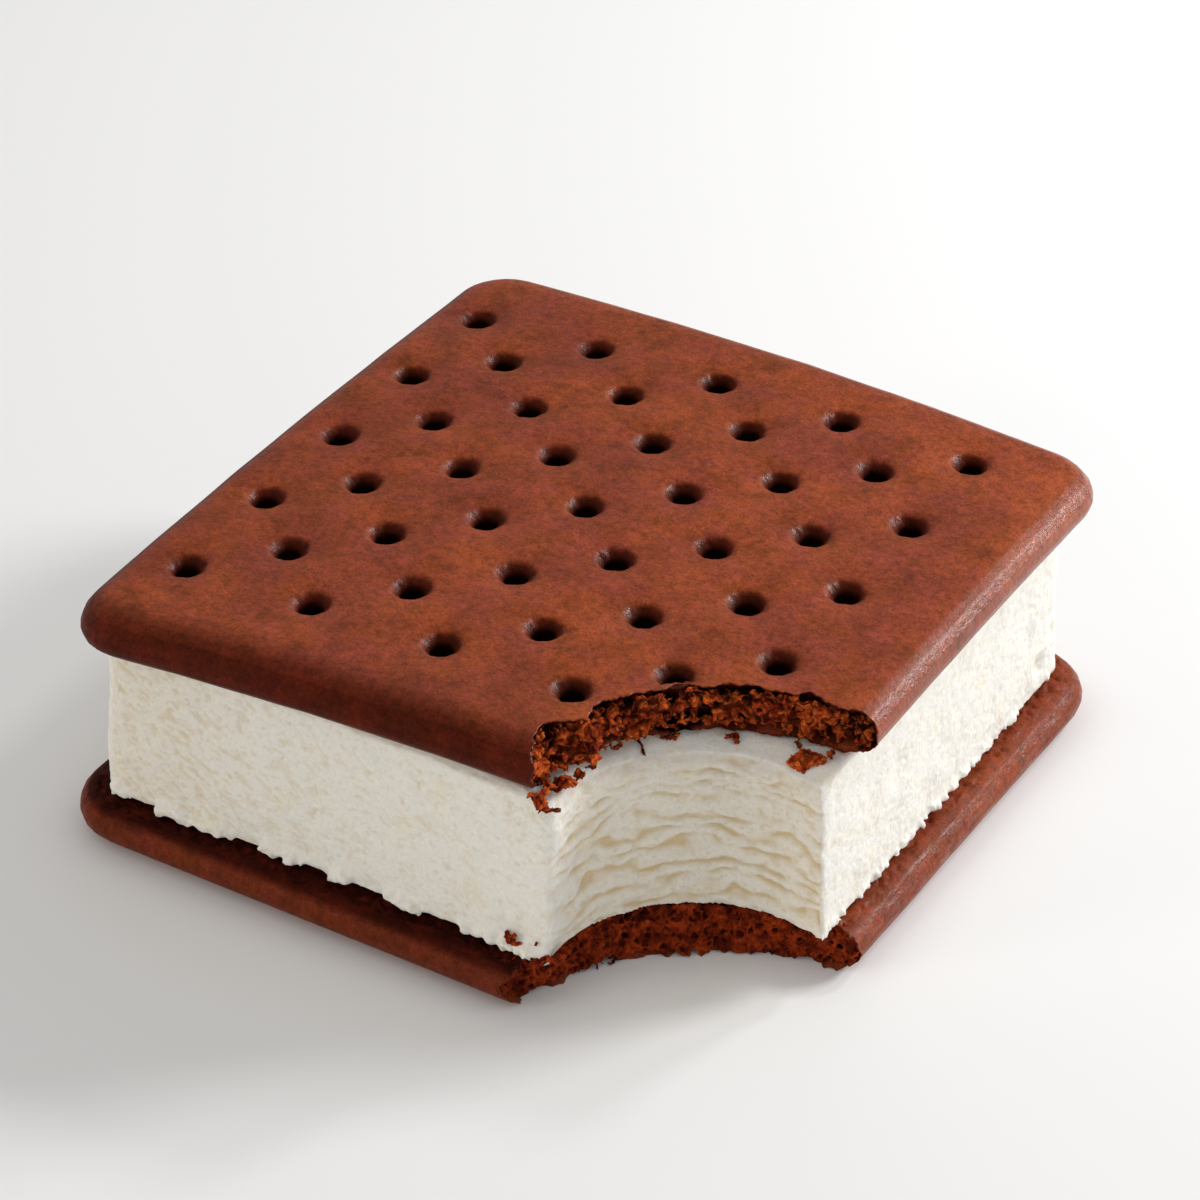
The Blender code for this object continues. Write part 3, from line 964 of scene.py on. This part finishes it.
top_crumb = crumb_band(
    "top_crumb",
    TOP_BITE,
    TOP_EDGES,
    top_places,
    lambda share: top_face(share) - WAFER_THICKNESS,
    lambda share: top_face(share) - 0.1 * MM,
    (
        (900, 0.6 * MM, 0.9 * MM, 0.9 * MM, 2.0 * MM),
        (420, 0.5 * MM, 0.9 * MM, 0.3 * MM, 1.0 * MM),
        (200, 0.5 * MM, 0.9 * MM, 0.0 * MM, 0.3 * MM),
        (500, 0.15 * MM, 0.3 * MM, 0.0 * MM, 0.6 * MM),
    ),
    top_lean,
    HANGING_CRUMBS,
    flaky,
    0.42 * MM,
    17,
)
finish_piece(top_crumb, dry_crumb_painted_lit, "wafer_top")

# ---------------------------------------------------------------------------- the loose crumbs
# Flakes of wafer that fell on the ice cream: one big one on its melted shoulder, and a few small ones
# that stuck near the foot of its bitten corner.

LOOSE_CRUMBS = (
    (33.5, -20.1, 24.2, 0.8),
    (34.3, -19.6, 24.6, 1.05),
    (35.2, -19.4, 24.6, 0.95),
    (34.7, -20.2, 24.0, 0.8),
    (36.0, -19.3, 24.6, 0.6),
    (33.6, -20.2, 23.7, 0.5),
    (12.3, -39.6, 7.6, 0.4),
    (12.9, -39.7, 7.2, 0.55),
    (13.6, -39.7, 7.0, 0.4),
    (13.2, -39.6, 7.9, 0.3),
    (15.6, -39.6, 7.7, 0.3),
    (9.4, -39.5, 6.6, 0.25),
)
LOOSE_CELL = 0.1 * MM

chance = random.Random(52)
places = []
for x, y, z, radius in LOOSE_CRUMBS:
    for _ in range(4):
        stray = [0.35 * radius * chance.uniform(-1, 1) for _ in range(3)]
        place = ((x + stray[0]) * MM, (y + stray[1]) * MM, (z + stray[2]) * MM)
        places.append((place, 0.8 * radius * MM))
loose_crumbs = as_piece("loose_crumbs", lump_cloud(places, chance))
even_out(loose_crumbs, LOOSE_CELL)
points = points_of(loose_crumbs)
crack = 1 - ease(0.02, 0.3, cracks(points, 0.8 * MM, 5))
points -= normals_of(loose_crumbs) * (0.15 * MM * crack)[:, None]
move_points(loose_crumbs, points)
# Painted shade: the cracks between the flakes are darkened.
store(loose_crumbs, "deep", 0.6 * crack)
finish_piece(loose_crumbs, dry_crumb_painted_lit, "wafer_top")

# ---------------------------------------------------------------------------- the table
# A plain white table top, wide enough to fill the view, with no sheen that would mirror the food.

TABLE_HALF = 3.0

table_shape = bmesh.new()
bmesh.ops.create_grid(table_shape, x_segments=1, y_segments=1, size=TABLE_HALF)
table = as_piece("table", table_shape)
table_paint = new_material("matt_white_table")
table_shader = add_node(
    table_paint, "ShaderNodeBsdfPrincipled", {"Base Color": colour("#F4F4F4"), "Roughness": 0.9}
)
add_node(table_paint, "ShaderNodeOutputMaterial", {"Surface": table_shader.outputs[0]})
table.data.materials.append(table_paint)

# ---------------------------------------------------------------------------- the lights
# A soft box behind and to the right, a small one above it that glints along the rims, a wide one in
# front, and a pale room all round.


def add_light(name, azimuth, elevation, distance, size, power, tint):
    """A round soft box that faces the sandwich, at this bearing from +X and height above the table."""
    turn, rise = math.radians(azimuth), math.radians(elevation)
    back = Vector((math.cos(turn) * math.cos(rise), math.sin(turn) * math.cos(rise), math.sin(rise)))
    lamp = bpy.data.lights.new(name, "AREA")
    lamp.shape = "DISK"
    lamp.size = size
    lamp.energy = power
    lamp.color = colour(tint)[:3]
    light = bpy.data.objects.new(name, lamp)
    light.matrix_world = Matrix.Translation(back * distance) @ back.to_track_quat("Z", "Y").to_matrix().to_4x4()
    bpy.context.scene.collection.objects.link(light)


add_light("key_light", 48, 29, 0.6, 0.17, 2.15, "#FFFFFF")
add_light("edge_light", 68, 39, 0.6, 0.08, 0.6, "#FFFFFF")
add_light("front_card", -130, 16, 1.0, 0.4, 1.7, "#FFF0D6")

room = bpy.data.worlds.new("pale_room")
room.use_nodes = True
room.node_tree.nodes["Background"].inputs["Color"].default_value = (1.0, 1.0, 1.0, 1.0)
room.node_tree.nodes["Background"].inputs["Strength"].default_value = 0.54
bpy.context.scene.world = room
bpy.context.scene.view_settings.view_transform = "Standard"

# ---------------------------------------------------------------------------- the camera
# It looks down on the bitten corner from the front and right, through a long lens.

AZIMUTH = math.radians(29.68)
ELEVATION = math.radians(34.03)
ROLL = math.radians(0.29)
LENS_MM = 131.84
SENSOR_MM = 36.0
DISTANCE = 441.5 * MM
AIM = Vector((8.27 * MM, -14.27 * MM, top_height))

back = Vector(
    (
        math.sin(AZIMUTH) * math.cos(ELEVATION),
        -math.cos(AZIMUTH) * math.cos(ELEVATION),
        math.sin(ELEVATION),
    )
)
lens = bpy.data.cameras.new("camera")
lens.lens = LENS_MM
lens.sensor_width = SENSOR_MM
lens.clip_start = 10 * MM
camera = bpy.data.objects.new("camera", lens)
level = back.to_track_quat("Z", "Y").to_matrix().to_4x4()
camera.matrix_world = Matrix.Translation(AIM + back * DISTANCE) @ level @ Matrix.Rotation(ROLL, 4, "Z")
bpy.context.scene.collection.objects.link(camera)
bpy.context.scene.camera = camera
